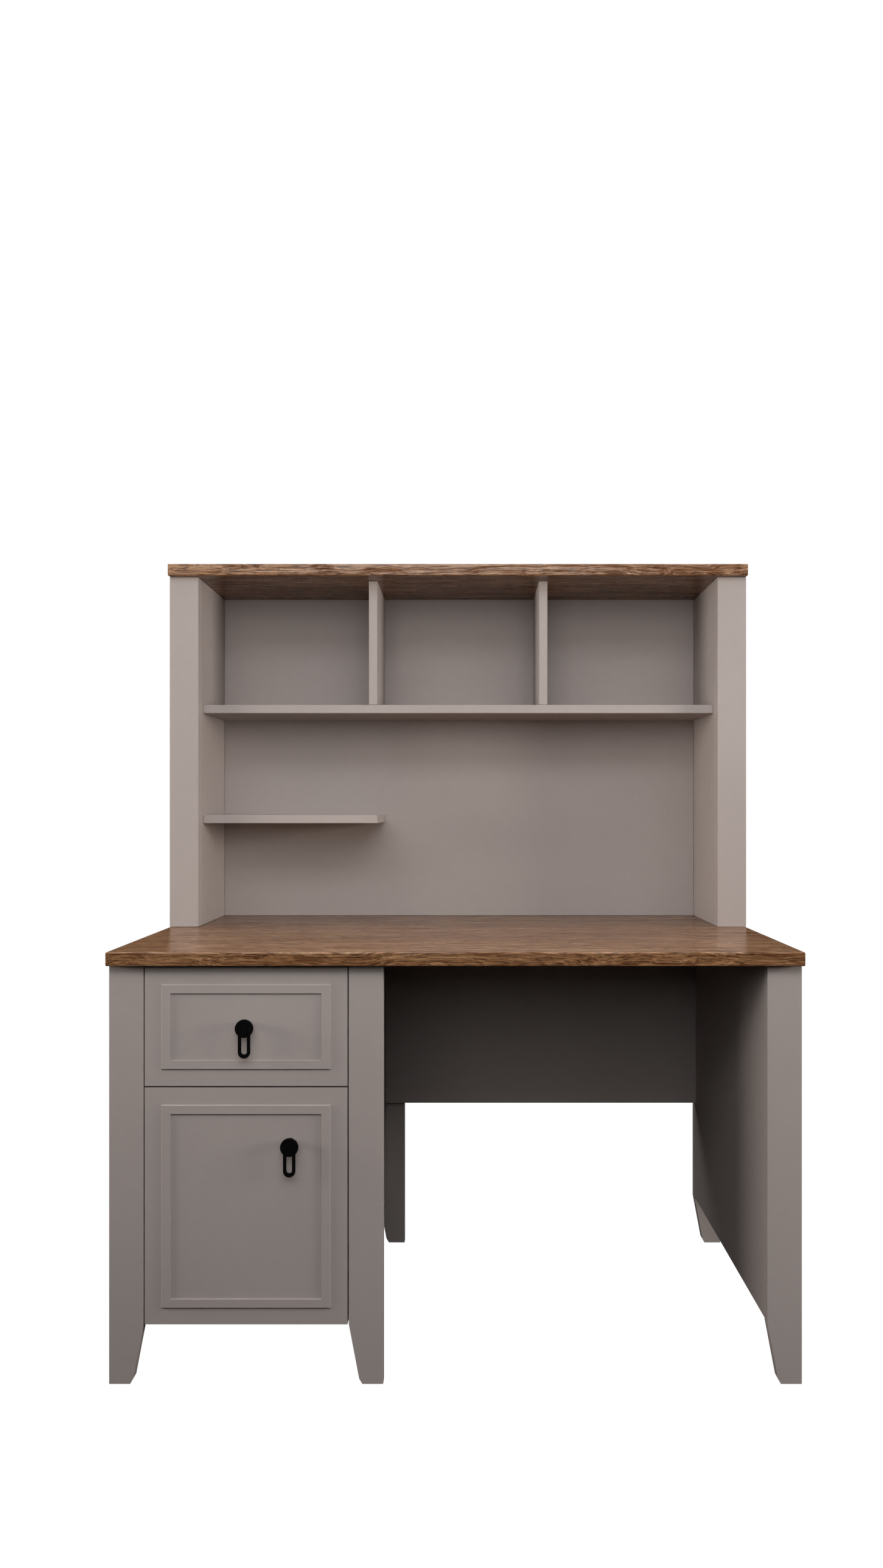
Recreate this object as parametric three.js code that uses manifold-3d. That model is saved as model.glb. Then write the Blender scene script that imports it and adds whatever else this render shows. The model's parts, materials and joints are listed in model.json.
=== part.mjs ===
// A writing desk with a hutch: a pedestal with one drawer and one door on the left, an open kneehole,
// and an open shelf unit standing on the back of the desk top.
// Millimetres. X runs to the right, Y to the back, Z up. The origin is on the floor under the desk's centre.
import * as THREE from "three";
import { mergeVertices } from "three/addons/utils/BufferGeometryUtils.js";
import Module from "manifold-3d";

// Overall sizes
const WIDTH = 1200;
const DEPTH = 600;
const DESK_HEIGHT = 750;
const TOTAL_HEIGHT = 1502;
const HUTCH_DEPTH = 248;

// Boards
const SLAB = 24; // the wood-decor tops
const BOARD = 18; // lacquered boards
const THIN_BACK = 4; // pedestal back
const HUTCH_BACK = 12;
const OVERHANG = 19; // of the desk top past the leg boards
const HUTCH_OVERHANG = 15; // of the hutch top past the hutch posts

// Leg boards
const LEG_WIDTH = 60;
const TOE_WIDTH = 42;
const TAPER_HEIGHT = 104;
const TOE_CHAMFER_WIDTH = 5.5;
const TOE_CHAMFER_HEIGHT = 9.5;
const MIDDLE_LEG_LEFT = -185; // left edge of the middle leg boards

// Carcass
const PANEL_BOTTOM = 106;
const MODESTY_HEIGHT = 400;
const STRETCHER_DEPTH = 60;
const SHELF_BOARD = 16;
const SHELF_BOTTOM = 306; // pedestal shelf
const SHELF_SETBACK = 22;

// Drawer and door fronts
const FRONT_GAP = 2; // beside the leg boards
const FRONT_MEETING_GAP = 3; // between door and drawer
const DOOR_BOTTOM = 103.5;
const DOOR_HEIGHT = 409.5;
const DRAWER_FRONT_HEIGHT = 205.5;
const CLOSED_CLEARANCE = 2; // behind the fronts, which the door's turning corner needs
const MOULDING_MARGIN = 29;
const MOULDING_WIDTH = 16;
const MOULDING_THICKNESS = 3;
const MOULDING_BEVEL = 1;

// Drawer box
const DRAWER_SIDE = 12;
const DRAWER_BOX_BOTTOM = 540;
const DRAWER_BOX_HEIGHT = 140;
const DRAWER_LENGTH = 450;
const DRAWER_FLOOR = 4;
const DRAWER_FLOOR_LIFT = 6;

// Telescopic runners: three nested channels on each side of the drawer
const RUNNER_SPACE = 13;
const RUNNER_MIDDLE_HEIGHT = 600;
const RUNNER_WALL = 1.5;
const RUNNER_END_GAP = 2; // behind the drawer front
const RUNNERS = {
  cabinet_member: { height: 45, depth: 9.5, offset: 0 },
  middle_member: { height: 38, depth: 8.5, offset: 2.5 },
  drawer_member: { height: 30, depth: 7.5, offset: 5.5 },
};

// Loop pulls: a round rosette on a stem, in which a loop swings on a cross pin
const ROSETTE_RADIUS = 15.5;
const ROSETTE_THICKNESS = 5;
const STEM_RADIUS = 5.5;
const STEM_LENGTH = 13;
const LOOP_WIDTH = 20.8;
const LOOP_THICKNESS = 4;
const LOOP_WALL = 5.4;
const LOOP_REACH = 51; // pin to the loop's lowest point
const LOOP_FOOT = 6.5; // height of the loop's lower bar
const LOOP_PIN_RADIUS = 1.25;
const CLEARANCE = 0.3;
const PULL_SCREW_RADIUS = 2;
const PULL_SCREW_HEAD_RADIUS = 4;
const PULL_SCREW_HEAD = 2.5;
const PULL_SCREW_LIFT = 6; // of the screw and the stem above the pin
const PULL_SCREW_GRIP = 8; // into the stem
const DOOR_PULL_INSET = 98; // from the door's right and top edges

// Concealed hinges
const HINGE_HEIGHTS = [174, 444.5];
const CUP_RADIUS = 17.25;
const CUP_DEPTH = 12;
const CUP_WALL = 1;
const CUP_INSET = 22.5; // centre, from the door's hinged edge
const CUP_FLANGE_RADIUS = 19;
const CUP_FLANGE = 1;
const HINGE_ARM_HEIGHT = 14;
const HINGE_ARM_LENGTH = 54;
const HINGE_ARM_THICKNESS = 10;
const HINGE_ARM_GAP = 2; // between the closed cup's flange and the arm
const HINGE_PLATE = 6; // thickness of the mounting plate on the side panel
const HINGE_PLATE_LENGTH = 42;
const HINGE_PLATE_SETBACK = 20; // from the arm's front end
const HINGE_NOSE = 8; // depth of the crank in front of the arm
const HINGE_TIP = [1, 8]; // sides of the tip in the cup, from the cup's centre

// Shelf pins
const PIN_RADIUS = 2.5;
const PIN_IN_PANEL = 8;
const PIN_OUT = 8;
const PIN_COLLAR_RADIUS = 4;
const PIN_COLLAR = 1.5;
const PIN_ROWS = [-180, 200];

// Hutch
const HUTCH_SHELF_TOP = 1216;
const HALF_SHELF_TOP = 983;
const HUTCH_SHELF_FRONT = 103;
const DIVIDER_CENTRE = 180;

const HALF_WIDTH = WIDTH / 2;
const BACK = DEPTH / 2;
const UNDERSIDE = DESK_HEIGHT - SLAB;
const FRONT = -DEPTH / 2 + OVERHANG; // front face of the leg boards, drawer and door
const FRONT_BACK = FRONT + BOARD;
const REAR_LEG = BACK - BOARD;
const INNER = HALF_WIDTH - LEG_WIDTH; // inner faces of the outer panels
const MIDDLE_LEG_RIGHT = MIDDLE_LEG_LEFT + LEG_WIDTH;
const BAY = [-INNER, MIDDLE_LEG_LEFT]; // between the pedestal's panels
const CARCASS_FRONT = FRONT_BACK + CLOSED_CLEARANCE;
const BACK_PANEL = REAR_LEG - THIN_BACK;
const FRONT_SPAN = [BAY[0] + FRONT_GAP, BAY[1] - FRONT_GAP];
const DOOR_TOP = DOOR_BOTTOM + DOOR_HEIGHT;
const DRAWER_FRONT_BOTTOM = DOOR_TOP + FRONT_MEETING_GAP;
const DRAWER_FRONT_TOP = DRAWER_FRONT_BOTTOM + DRAWER_FRONT_HEIGHT;
const RAIL_BOTTOM = (DOOR_TOP + DRAWER_FRONT_BOTTOM) / 2 - BOARD / 2;
const MIDDLE_OF_DRAWER = (DRAWER_FRONT_BOTTOM + DRAWER_FRONT_TOP) / 2;
const BAY_CENTRE = (BAY[0] + BAY[1]) / 2;
const HUTCH_FRONT = BACK - HUTCH_DEPTH;
const HUTCH_POST_FRONT = HUTCH_FRONT + HUTCH_OVERHANG;
const HUTCH_UNDERSIDE = TOTAL_HEIGHT - SLAB;
const HUTCH_BACK_FRONT = BACK - HUTCH_BACK;

const wasm = await Module();
wasm.setup();

const group = new THREE.Group();

const FINISHES = {
  lacquer: { color: 0x8f8881, roughness: 0.5, metalness: 0 },
  oak: { color: 0x6f4a2e, roughness: 0.55, metalness: 0 },
  carcass: { color: 0xb9b4ad, roughness: 0.6, metalness: 0 },
  steel: { color: 0xb4b6b8, roughness: 0.35, metalness: 1 },
  black: { color: 0x0c0c0d, roughness: 0.45, metalness: 0.6 },
};

function addPart(name, geometry, finish, position = [0, 0, 0]) {
  const mesh = new THREE.Mesh(geometry, new THREE.MeshStandardMaterial(FINISHES[finish]));
  mesh.name = name;
  mesh.position.set(...position);
  group.add(mesh);
}

function boxBetween([x0, x1], [y0, y1], [z0, z1]) {
  const box = new THREE.BoxGeometry(x1 - x0, y1 - y0, z1 - z0);
  return box.translate((x0 + x1) / 2, (y0 + y1) / 2, (z0 + z1) / 2);
}

function board(name, xs, ys, zs, finish = "lacquer") {
  addPart(name, boxBetween(xs, ys, zs), finish);
}

function toSolid(geometry) {
  const bare = geometry.clone();
  bare.deleteAttribute("normal");
  bare.deleteAttribute("uv");
  const merged = mergeVertices(bare, 1e-4);
  return new wasm.Manifold(
    new wasm.Mesh({
      numProp: 3,
      vertProperties: new Float32Array(merged.attributes.position.array),
      triVerts: new Uint32Array(merged.index.array),
    }),
  );
}

function toGeometry(solid) {
  const mesh = solid.getMesh();
  const geometry = new THREE.BufferGeometry();
  geometry.setAttribute("position", new THREE.BufferAttribute(mesh.vertProperties, 3));
  geometry.setIndex(new THREE.BufferAttribute(mesh.triVerts, 1));
  geometry.computeVertexNormals();
  return geometry;
}

function cut(geometry, ...tools) {
  const solid = tools.reduce((left, tool) => left.subtract(toSolid(tool)), toSolid(geometry));
  return toGeometry(solid);
}

function join(...geometries) {
  const solid = geometries.map(toSolid).reduce((sum, next) => sum.add(next));
  return toGeometry(solid);
}

// A shape drawn in X and Z, made solid from Y = back forward by depth.
function extrudeForward(shape, back, depth) {
  const solid = new THREE.ExtrudeGeometry(shape, { depth, bevelEnabled: false, curveSegments: 16 });
  return solid.rotateX(Math.PI / 2).translate(0, back, 0);
}

function outline(points) {
  return new THREE.Shape(points.map(([x, z]) => new THREE.Vector2(x, z)));
}

function cylinderAlongX(radius, [x0, x1], y, z, segments = 24) {
  const rod = new THREE.CylinderGeometry(radius, radius, x1 - x0, segments);
  return rod.rotateZ(Math.PI / 2).translate((x0 + x1) / 2, y, z);
}

function cylinderAlongY(radius, x, [y0, y1], z, segments = 24) {
  const rod = new THREE.CylinderGeometry(radius, radius, y1 - y0, segments);
  return rod.translate(x, (y0 + y1) / 2, z);
}

// Leg board: straight on its outer side, tapered on its inner side near the floor.
// inward is +1 where the inner side faces +X.
function legBoard(name, outerX, inward, back) {
  const points = [
    [0, 0],
    [TOE_WIDTH - TOE_CHAMFER_WIDTH, 0],
    [TOE_WIDTH, TOE_CHAMFER_HEIGHT],
    [LEG_WIDTH, TAPER_HEIGHT],
    [LEG_WIDTH, UNDERSIDE],
    [0, UNDERSIDE],
  ].map(([x, z]) => [outerX + inward * x, z]);
  addPart(name, extrudeForward(outline(points), back, BOARD), "lacquer");
}

function makeDesk() {
  board("desk_top", [-HALF_WIDTH, HALF_WIDTH], [-BACK, BACK], [UNDERSIDE, DESK_HEIGHT], "oak");
  for (const [end, back] of [["front", FRONT_BACK], ["rear", BACK]]) {
    legBoard(`leg_${end}_left`, -HALF_WIDTH, 1, back);
    legBoard(`leg_${end}_middle`, MIDDLE_LEG_RIGHT, -1, back);
    legBoard(`leg_${end}_right`, HALF_WIDTH, -1, back);
  }
  const panelY = [FRONT_BACK, REAR_LEG];
  const panelZ = [PANEL_BOTTOM, UNDERSIDE];
  const leftPanel = boxBetween([-INNER - BOARD, -INNER], panelY, panelZ);
  const partition = boxBetween([MIDDLE_LEG_LEFT, MIDDLE_LEG_LEFT + BOARD], panelY, panelZ);
  const pinHoles = ([x0, x1]) =>
    PIN_ROWS.map((y) => cylinderAlongX(PIN_RADIUS + CLEARANCE, [x0, x1], y, SHELF_BOTTOM - PIN_RADIUS));
  const holeDepth = PIN_IN_PANEL + CLEARANCE;
  addPart("side_panel_left", cut(leftPanel, ...pinHoles([BAY[0] - holeDepth, BAY[0] + 1])), "lacquer");
  addPart("partition_panel", cut(partition, ...pinHoles([BAY[1] - 1, BAY[1] + holeDepth])), "lacquer");
  board("side_panel_right", [INNER, INNER + BOARD], panelY, panelZ);
  board("modesty_panel", [MIDDLE_LEG_LEFT + BOARD, INNER], [REAR_LEG - BOARD, REAR_LEG],
    [UNDERSIDE - MODESTY_HEIGHT, UNDERSIDE]);
}

function makePedestal() {
  const depth = [CARCASS_FRONT, BACK_PANEL];
  board("pedestal_floor", BAY, depth, [PANEL_BOTTOM, PANEL_BOTTOM + BOARD], "carcass");
  board("pedestal_rail", BAY, depth, [RAIL_BOTTOM, RAIL_BOTTOM + BOARD], "carcass");
  board("pedestal_back", BAY, [BACK_PANEL, REAR_LEG], [PANEL_BOTTOM, UNDERSIDE], "carcass");
  const stretcherZ = [UNDERSIDE - BOARD, UNDERSIDE];
  board("stretcher_front", BAY, [CARCASS_FRONT, CARCASS_FRONT + STRETCHER_DEPTH], stretcherZ, "carcass");
  board("stretcher_rear", BAY, [BACK_PANEL - STRETCHER_DEPTH, BACK_PANEL], stretcherZ, "carcass");
  board("pedestal_shelf", [BAY[0] + 2, BAY[1] - 2], [CARCASS_FRONT + SHELF_SETBACK, BACK_PANEL - 1],
    [SHELF_BOTTOM, SHELF_BOTTOM + SHELF_BOARD], "carcass");
  for (const [side, x, inward] of [["left", BAY[0], 1], ["right", BAY[1], -1]]) {
    PIN_ROWS.forEach((y, row) => makeShelfPin(`shelf_pin_${side}_${row + 1}`, x, y, inward));
  }
}

// A shelf pin lies along X: its plug is in the panel and its collar rests on the panel's face.
function makeShelfPin(name, x, y, inward) {
  const profile = [
    [0, -PIN_IN_PANEL],
    [PIN_RADIUS, -PIN_IN_PANEL],
    [PIN_RADIUS, CLEARANCE],
    [PIN_COLLAR_RADIUS, CLEARANCE],
    [PIN_COLLAR_RADIUS, CLEARANCE + PIN_COLLAR],
    [PIN_RADIUS, CLEARANCE + PIN_COLLAR],
    [PIN_RADIUS, PIN_OUT],
    [0, PIN_OUT],
  ].map(([r, h]) => new THREE.Vector2(r, h));
  const pin = new THREE.LatheGeometry(profile, 20).rotateZ((-Math.PI / 2) * inward);
  addPart(name, pin, "steel", [x, y, SHELF_BOTTOM - PIN_RADIUS - CLEARANCE]);
}

// Flat frame with bevelled outer edges, glued on a front.
function makeMoulding(name, [x0, x1], [z0, z1]) {
  const ring = (inset) => {
    const [left, right, low, high] = [x0 + inset, x1 - inset, z0 + inset, z1 - inset];
    return outline([[left, low], [right, low], [right, high], [left, high]]);
  };
  const base = extrudeForward(ring(MOULDING_MARGIN), FRONT, MOULDING_THICKNESS - MOULDING_BEVEL);
  const top = extrudeForward(ring(MOULDING_MARGIN + MOULDING_BEVEL), FRONT, MOULDING_THICKNESS);
  const hole = extrudeForward(ring(MOULDING_MARGIN + MOULDING_WIDTH), FRONT + 1, MOULDING_THICKNESS + 2);
  addPart(name, cut(join(base, top), hole), "lacquer");
}

function pullScrewHole(x, z) {
  return cylinderAlongY(PULL_SCREW_RADIUS + CLEARANCE, x, [FRONT - 1, FRONT_BACK + 1], z + PULL_SCREW_LIFT);
}

// Pull at (x, z), the place of its cross pin.
function makePull(prefix, x, z) {
  const rosetteBack = FRONT - STEM_LENGTH;
  const rosetteY = [rosetteBack - ROSETTE_THICKNESS, rosetteBack];
  const pinY = rosetteBack - ROSETTE_THICKNESS / 2;
  const notchOuter = LOOP_WIDTH / 2 + CLEARANCE;
  const notchInner = LOOP_WIDTH / 2 - LOOP_WALL - CLEARANCE;
  const notchTop = LOOP_THICKNESS / 2 + 0.5;
  const notches = [-1, 1].map((side) => {
    const xs = [x + side * notchInner, x + side * notchOuter].sort((a, b) => a - b);
    return boxBetween(xs, [rosetteY[0] - 1, rosetteY[1] + 1], [z - ROSETTE_RADIUS - 1, z + notchTop]);
  });
  const pinXs = [x - notchInner - 1, x + notchInner + 1];
  const pinHole = cylinderAlongX(LOOP_PIN_RADIUS + CLEARANCE, pinXs, pinY, z);
  const screwHole = cylinderAlongY(PULL_SCREW_RADIUS + CLEARANCE, x,
    [FRONT - PULL_SCREW_GRIP - CLEARANCE, FRONT + 1], z + PULL_SCREW_LIFT);
  const disc = cylinderAlongY(ROSETTE_RADIUS, x, rosetteY, z, 64);
  const stem = cylinderAlongY(STEM_RADIUS, x, [rosetteBack - 0.5, FRONT], z + PULL_SCREW_LIFT, 32);
  const rosette = join(cut(disc, ...notches, pinHole), stem);
  addPart(`${prefix}_pull_rosette`, cut(rosette, screwHole), "black");

  const half = LOOP_WIDTH / 2;
  const slot = half - LOOP_WALL;
  const bend = z - LOOP_REACH + half; // centre of the loop's round end
  const slotBend = z - LOOP_REACH + LOOP_FOOT + slot;
  const bail = new THREE.Shape();
  bail.moveTo(x - half, z);
  bail.lineTo(x - half, bend);
  bail.absarc(x, bend, half, Math.PI, 2 * Math.PI, false);
  bail.lineTo(x + half, z);
  bail.lineTo(x + slot, z);
  bail.lineTo(x + slot, slotBend);
  bail.absarc(x, slotBend, slot, 0, -Math.PI, true);
  bail.lineTo(x - slot, z);
  const bailY = pinY + LOOP_THICKNESS / 2;
  const ears = [[x - half, x - slot], [x + slot, x + half]].map((xs) =>
    cylinderAlongX(LOOP_THICKNESS / 2, xs, pinY, z));
  const pin = cylinderAlongX(LOOP_PIN_RADIUS, [x - slot - 1, x + slot + 1], pinY, z);
  addPart(`${prefix}_pull_loop`, join(extrudeForward(bail, bailY, LOOP_THICKNESS), ...ears, pin), "black");

  const shank = FRONT_BACK - FRONT + PULL_SCREW_GRIP;
  const profile = [
    [0, 0],
    [PULL_SCREW_HEAD_RADIUS, 0],
    [PULL_SCREW_HEAD_RADIUS, PULL_SCREW_HEAD],
    [PULL_SCREW_RADIUS, PULL_SCREW_HEAD],
    [PULL_SCREW_RADIUS, PULL_SCREW_HEAD + shank],
    [0, PULL_SCREW_HEAD + shank],
  ].map(([r, h]) => new THREE.Vector2(r, h));
  const screw = new THREE.LatheGeometry(profile, 24).rotateZ(Math.PI);
  addPart(`${prefix}_pull_screw`, screw, "steel", [x, FRONT_BACK + PULL_SCREW_HEAD, z + PULL_SCREW_LIFT]);
}

function makeDrawer() {
  const frontZ = [DRAWER_FRONT_BOTTOM, DRAWER_FRONT_TOP];
  const front = boxBetween(FRONT_SPAN, [FRONT, FRONT_BACK], frontZ);
  addPart("drawer_front", cut(front, pullScrewHole(BAY_CENTRE, MIDDLE_OF_DRAWER)), "lacquer");
  makeMoulding("drawer_moulding", FRONT_SPAN, frontZ);
  makePull("drawer", BAY_CENTRE, MIDDLE_OF_DRAWER);

  const outer = [BAY[0] + RUNNER_SPACE, BAY[1] - RUNNER_SPACE];
  const inner = [outer[0] + DRAWER_SIDE, outer[1] - DRAWER_SIDE];
  const boxY = [FRONT_BACK, FRONT_BACK + DRAWER_LENGTH];
  const boxZ = [DRAWER_BOX_BOTTOM, DRAWER_BOX_BOTTOM + DRAWER_BOX_HEIGHT];
  const backY = boxY[1] - DRAWER_SIDE;
  const floorBottom = DRAWER_BOX_BOTTOM + DRAWER_FLOOR_LIFT;
  board("drawer_side_left", [outer[0], inner[0]], boxY, boxZ, "carcass");
  board("drawer_side_right", [inner[1], outer[1]], boxY, boxZ, "carcass");
  board("drawer_back", inner, [backY, boxY[1]], boxZ, "carcass");
  board("drawer_bottom", inner, [boxY[0], backY], [floorBottom, floorBottom + DRAWER_FLOOR], "carcass");
}

// Each runner member is a channel. The drawer member opens towards the cabinet, the others towards
// the drawer.
function makeRunners() {
  for (const [side, wallX, inward] of [["left", BAY[0], 1], ["right", BAY[1], -1]]) {
    for (const [member, { height, depth, offset }] of Object.entries(RUNNERS)) {
      const opensToCabinet = member === "drawer_member";
      const low = RUNNER_MIDDLE_HEIGHT - height / 2;
      const high = RUNNER_MIDDLE_HEIGHT + height / 2;
      const points = [
        [0, low],
        [depth, low],
        [depth, low + RUNNER_WALL],
        [RUNNER_WALL, low + RUNNER_WALL],
        [RUNNER_WALL, high - RUNNER_WALL],
        [depth, high - RUNNER_WALL],
        [depth, high],
        [0, high],
      ].map(([d, z]) => [wallX + inward * (opensToCabinet ? RUNNER_SPACE - d : offset + d), z]);
      const y0 = FRONT_BACK + RUNNER_END_GAP;
      const channel = extrudeForward(outline(points), y0 + DRAWER_LENGTH, DRAWER_LENGTH);
      addPart(`runner_${side}_${member}`, channel, "steel");
    }
  }
}

function makeDoor() {
  const cupX = FRONT_SPAN[0] + CUP_INSET;
  const cupYs = [FRONT_BACK - CUP_DEPTH - CLEARANCE, FRONT_BACK + 1];
  const cupHoles = HINGE_HEIGHTS.map((z) => cylinderAlongY(CUP_RADIUS + CLEARANCE, cupX, cupYs, z, 40));
  const pullX = FRONT_SPAN[1] - DOOR_PULL_INSET;
  const pullZ = DOOR_TOP - DOOR_PULL_INSET;
  const panel = boxBetween(FRONT_SPAN, [FRONT, FRONT_BACK], [DOOR_BOTTOM, DOOR_TOP]);
  addPart("door_panel", cut(panel, ...cupHoles, pullScrewHole(pullX, pullZ)), "lacquer");
  makeMoulding("door_moulding", FRONT_SPAN, [DOOR_BOTTOM, DOOR_TOP]);
  makePull("door", pullX, pullZ);
  HINGE_HEIGHTS.forEach((z, index) => {
    makeHingeCup(`hinge_cup_${index + 1}`, cupX, z);
    makeHingeArm(`hinge_arm_${index + 1}`, cupX, z);
  });
}

// Cup sunk in the door's back, open towards the cabinet, with a flange on the door's face.
function makeHingeCup(name, x, z) {
  const profile = [
    [0, 0],
    [CUP_RADIUS, 0],
    [CUP_RADIUS, CUP_DEPTH],
    [CUP_FLANGE_RADIUS, CUP_DEPTH],
    [CUP_FLANGE_RADIUS, CUP_DEPTH + CUP_FLANGE],
    [CUP_RADIUS - CUP_WALL, CUP_DEPTH + CUP_FLANGE],
    [CUP_RADIUS - CUP_WALL, CUP_WALL],
    [0, CUP_WALL],
  ].map(([r, h]) => new THREE.Vector2(r, h));
  addPart(name, new THREE.LatheGeometry(profile, 40), "steel", [x, FRONT_BACK - CUP_DEPTH, z]);
}

// Arm with its mounting plate on the side panel. A crank leads from the arm to a tip inside the cup.
function makeHingeArm(name, cupX, z) {
  const heights = [z - HINGE_ARM_HEIGHT / 2, z + HINGE_ARM_HEIGHT / 2];
  const plateHeights = [z - HINGE_ARM_HEIGHT, z + HINGE_ARM_HEIGHT];
  const wall = BAY[0];
  const y0 = FRONT_BACK + CUP_FLANGE + HINGE_ARM_GAP;
  const plateFront = y0 + HINGE_PLATE_SETBACK;
  const plateYs = [plateFront, plateFront + HINGE_PLATE_LENGTH];
  const tipXs = HINGE_TIP.map((offset) => cupX + offset);
  const armXs = [wall + HINGE_PLATE - 1, wall + HINGE_PLATE + HINGE_ARM_THICKNESS];
  const plate = boxBetween([wall, wall + HINGE_PLATE], plateYs, plateHeights);
  const arm = boxBetween(armXs, [y0, y0 + HINGE_ARM_LENGTH], heights);
  const crank = boxBetween([armXs[0], tipXs[1]], [y0, y0 + HINGE_NOSE], heights);
  const tip = boxBetween(tipXs, [FRONT_BACK - CUP_DEPTH / 2, y0 + HINGE_NOSE], heights);
  addPart(name, join(plate, arm, crank, tip), "steel");
}

function makeHutch() {
  const postY = [HUTCH_POST_FRONT, HUTCH_POST_FRONT + BOARD];
  const heights = [DESK_HEIGHT, HUTCH_UNDERSIDE];
  const innerY = [HUTCH_SHELF_FRONT, HUTCH_BACK_FRONT];
  board("hutch_top", [-HALF_WIDTH, HALF_WIDTH], [HUTCH_FRONT, BACK], [HUTCH_UNDERSIDE, TOTAL_HEIGHT], "oak");
  board("hutch_post_left", [-HALF_WIDTH, -INNER], postY, heights);
  board("hutch_post_right", [INNER, HALF_WIDTH], postY, heights);
  board("hutch_side_left", [-INNER - BOARD, -INNER], [postY[1], BACK], heights);
  board("hutch_side_right", [INNER, INNER + BOARD], [postY[1], BACK], heights);
  board("hutch_back", [-INNER, INNER], [HUTCH_BACK_FRONT, BACK], heights);
  board("hutch_shelf", [-INNER, INNER], innerY, [HUTCH_SHELF_TOP - BOARD, HUTCH_SHELF_TOP]);
  const dividerX = (centre) => [centre - BOARD / 2, centre + BOARD / 2];
  const dividerZ = [HUTCH_SHELF_TOP, HUTCH_UNDERSIDE];
  board("hutch_divider_left", dividerX(-DIVIDER_CENTRE), innerY, dividerZ);
  board("hutch_divider_right", dividerX(DIVIDER_CENTRE), innerY, dividerZ);
  board("hutch_half_shelf", [-INNER, dividerX(-DIVIDER_CENTRE)[1]], innerY,
    [HALF_SHELF_TOP - BOARD, HALF_SHELF_TOP]);
}

makeDesk();
makePedestal();
makeDrawer();
makeRunners();
makeDoor();
makeHutch();

export default group;
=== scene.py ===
"""Looks of a writing desk with a hutch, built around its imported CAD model.

The boards, mouldings and pulls are the CAD solids with rounded edges and procedural materials.
The hinges, drawer runners, shelf pins and screws are detailed pieces that replace their CAD solids.
Metres. X runs to the right, Y to the back, Z up.
"""
import json
import math

import bmesh
import bpy
from mathutils import Matrix, Vector


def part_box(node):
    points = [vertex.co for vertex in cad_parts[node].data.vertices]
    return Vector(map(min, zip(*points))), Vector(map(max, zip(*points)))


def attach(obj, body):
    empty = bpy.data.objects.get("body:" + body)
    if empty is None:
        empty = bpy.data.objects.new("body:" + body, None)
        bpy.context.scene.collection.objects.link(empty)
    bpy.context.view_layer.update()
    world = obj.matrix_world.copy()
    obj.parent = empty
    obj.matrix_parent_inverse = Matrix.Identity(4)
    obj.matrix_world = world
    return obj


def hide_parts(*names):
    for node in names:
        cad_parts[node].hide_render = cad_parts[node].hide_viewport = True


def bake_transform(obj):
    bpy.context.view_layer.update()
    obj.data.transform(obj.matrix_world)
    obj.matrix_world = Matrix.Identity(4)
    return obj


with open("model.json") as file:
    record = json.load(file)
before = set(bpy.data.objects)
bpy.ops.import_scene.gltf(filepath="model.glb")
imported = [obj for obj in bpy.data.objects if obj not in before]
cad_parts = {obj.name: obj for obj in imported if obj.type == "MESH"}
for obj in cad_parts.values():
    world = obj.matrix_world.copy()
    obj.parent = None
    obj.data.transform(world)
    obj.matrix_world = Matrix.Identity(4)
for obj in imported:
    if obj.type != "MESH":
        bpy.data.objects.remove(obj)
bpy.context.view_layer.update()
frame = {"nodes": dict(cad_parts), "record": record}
NODES = frame["nodes"]
SLOT_OF = {part["node"]: part["material_slot"] for part in frame["record"]["subparts"]}
MM = 0.001

# Camera, level and facing Y, as the photo's perspective gives it
CAMERA_PLACE = (0.02525, -2.00488, 0.99556)
CAMERA_LENS = 22.87
CAMERA_SHIFT = (-0.01823, 0.01592)

# Studio. A light is a name, place, target, width and height, power and colour.
SKY = (0.011, 0.0085, 0.007, 1)
FLOOR_RADIUS = 12
FLOOR_FADES_FROM = 0.25 * FLOOR_RADIUS
FLOOR_FADES_TO = 0.9 * FLOOR_RADIUS
WHITE = (1.0, 1.0, 1.0)
WARM = (1.0, 0.935, 0.86)
COOL = (0.96, 0.98, 1.0)
LIGHTS = (
    ("ceiling", (0, -2.75, 2.85), (0, -2.6, 0), (5, 1.4), 61, COOL),
    ("overhead", (0, 0.1, 3.0), (0, 0.1, 0), (5, 0.9), 44, WHITE),
    ("steep", (0, -1.1, 2.7), (0, -0.2, 0.6), (2.4, 0.8), 6, COOL),
    ("front", (0, -2.2, 1.6), (0, 0, 0.95), (1.5, 1.0), 10, WHITE),
    ("near", (0, -0.9, 1.5), (0, 0.2, 1.1), (1.8, 0.6), 3.4, WARM),
    ("left_wing", (-2.6, -0.6, 1.2), (0.3, 0.1, 1.1), (0.8, 0.6), 44, WARM),
    ("right_wing", (2.7, -0.85, 1.2), (-0.3, 0.1, 1.1), (0.8, 0.6), 50, WARM),
    ("left_side", (-3.2, 0.8, 2.2), (-0.6, 0, 0.7), (2, 2), 20, WHITE),
    ("right_side", (3.2, 0.8, 2.2), (0.6, 0, 0.7), (2, 2), 20, WHITE),
    ("behind", (0, 2.6, 3.0), (0, 0.3, 0.8), (3, 1.5), 60, WHITE),
)

# Edge radii of the CAD solids, and the angles that tell a flat face and a sharp edge
FRONT_EDGE = 1.0 * MM
LEG_EDGE = 1.0 * MM
HUTCH_EDGE = 1.5 * MM
PANEL_EDGE = 0.7 * MM
OAK_EDGE = 2.2 * MM
MOULDING_EDGE = 0.7 * MM
PULL_EDGE = 0.8 * MM
WELD_DISTANCE = 0.01 * MM
FLAT_ANGLE = math.radians(0.5)
SHARP_ANGLE = math.radians(35)

FRONT_NODES = ("drawer_front", "door_panel")
MOULDING_NODES = ("drawer_moulding", "door_moulding")

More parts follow.
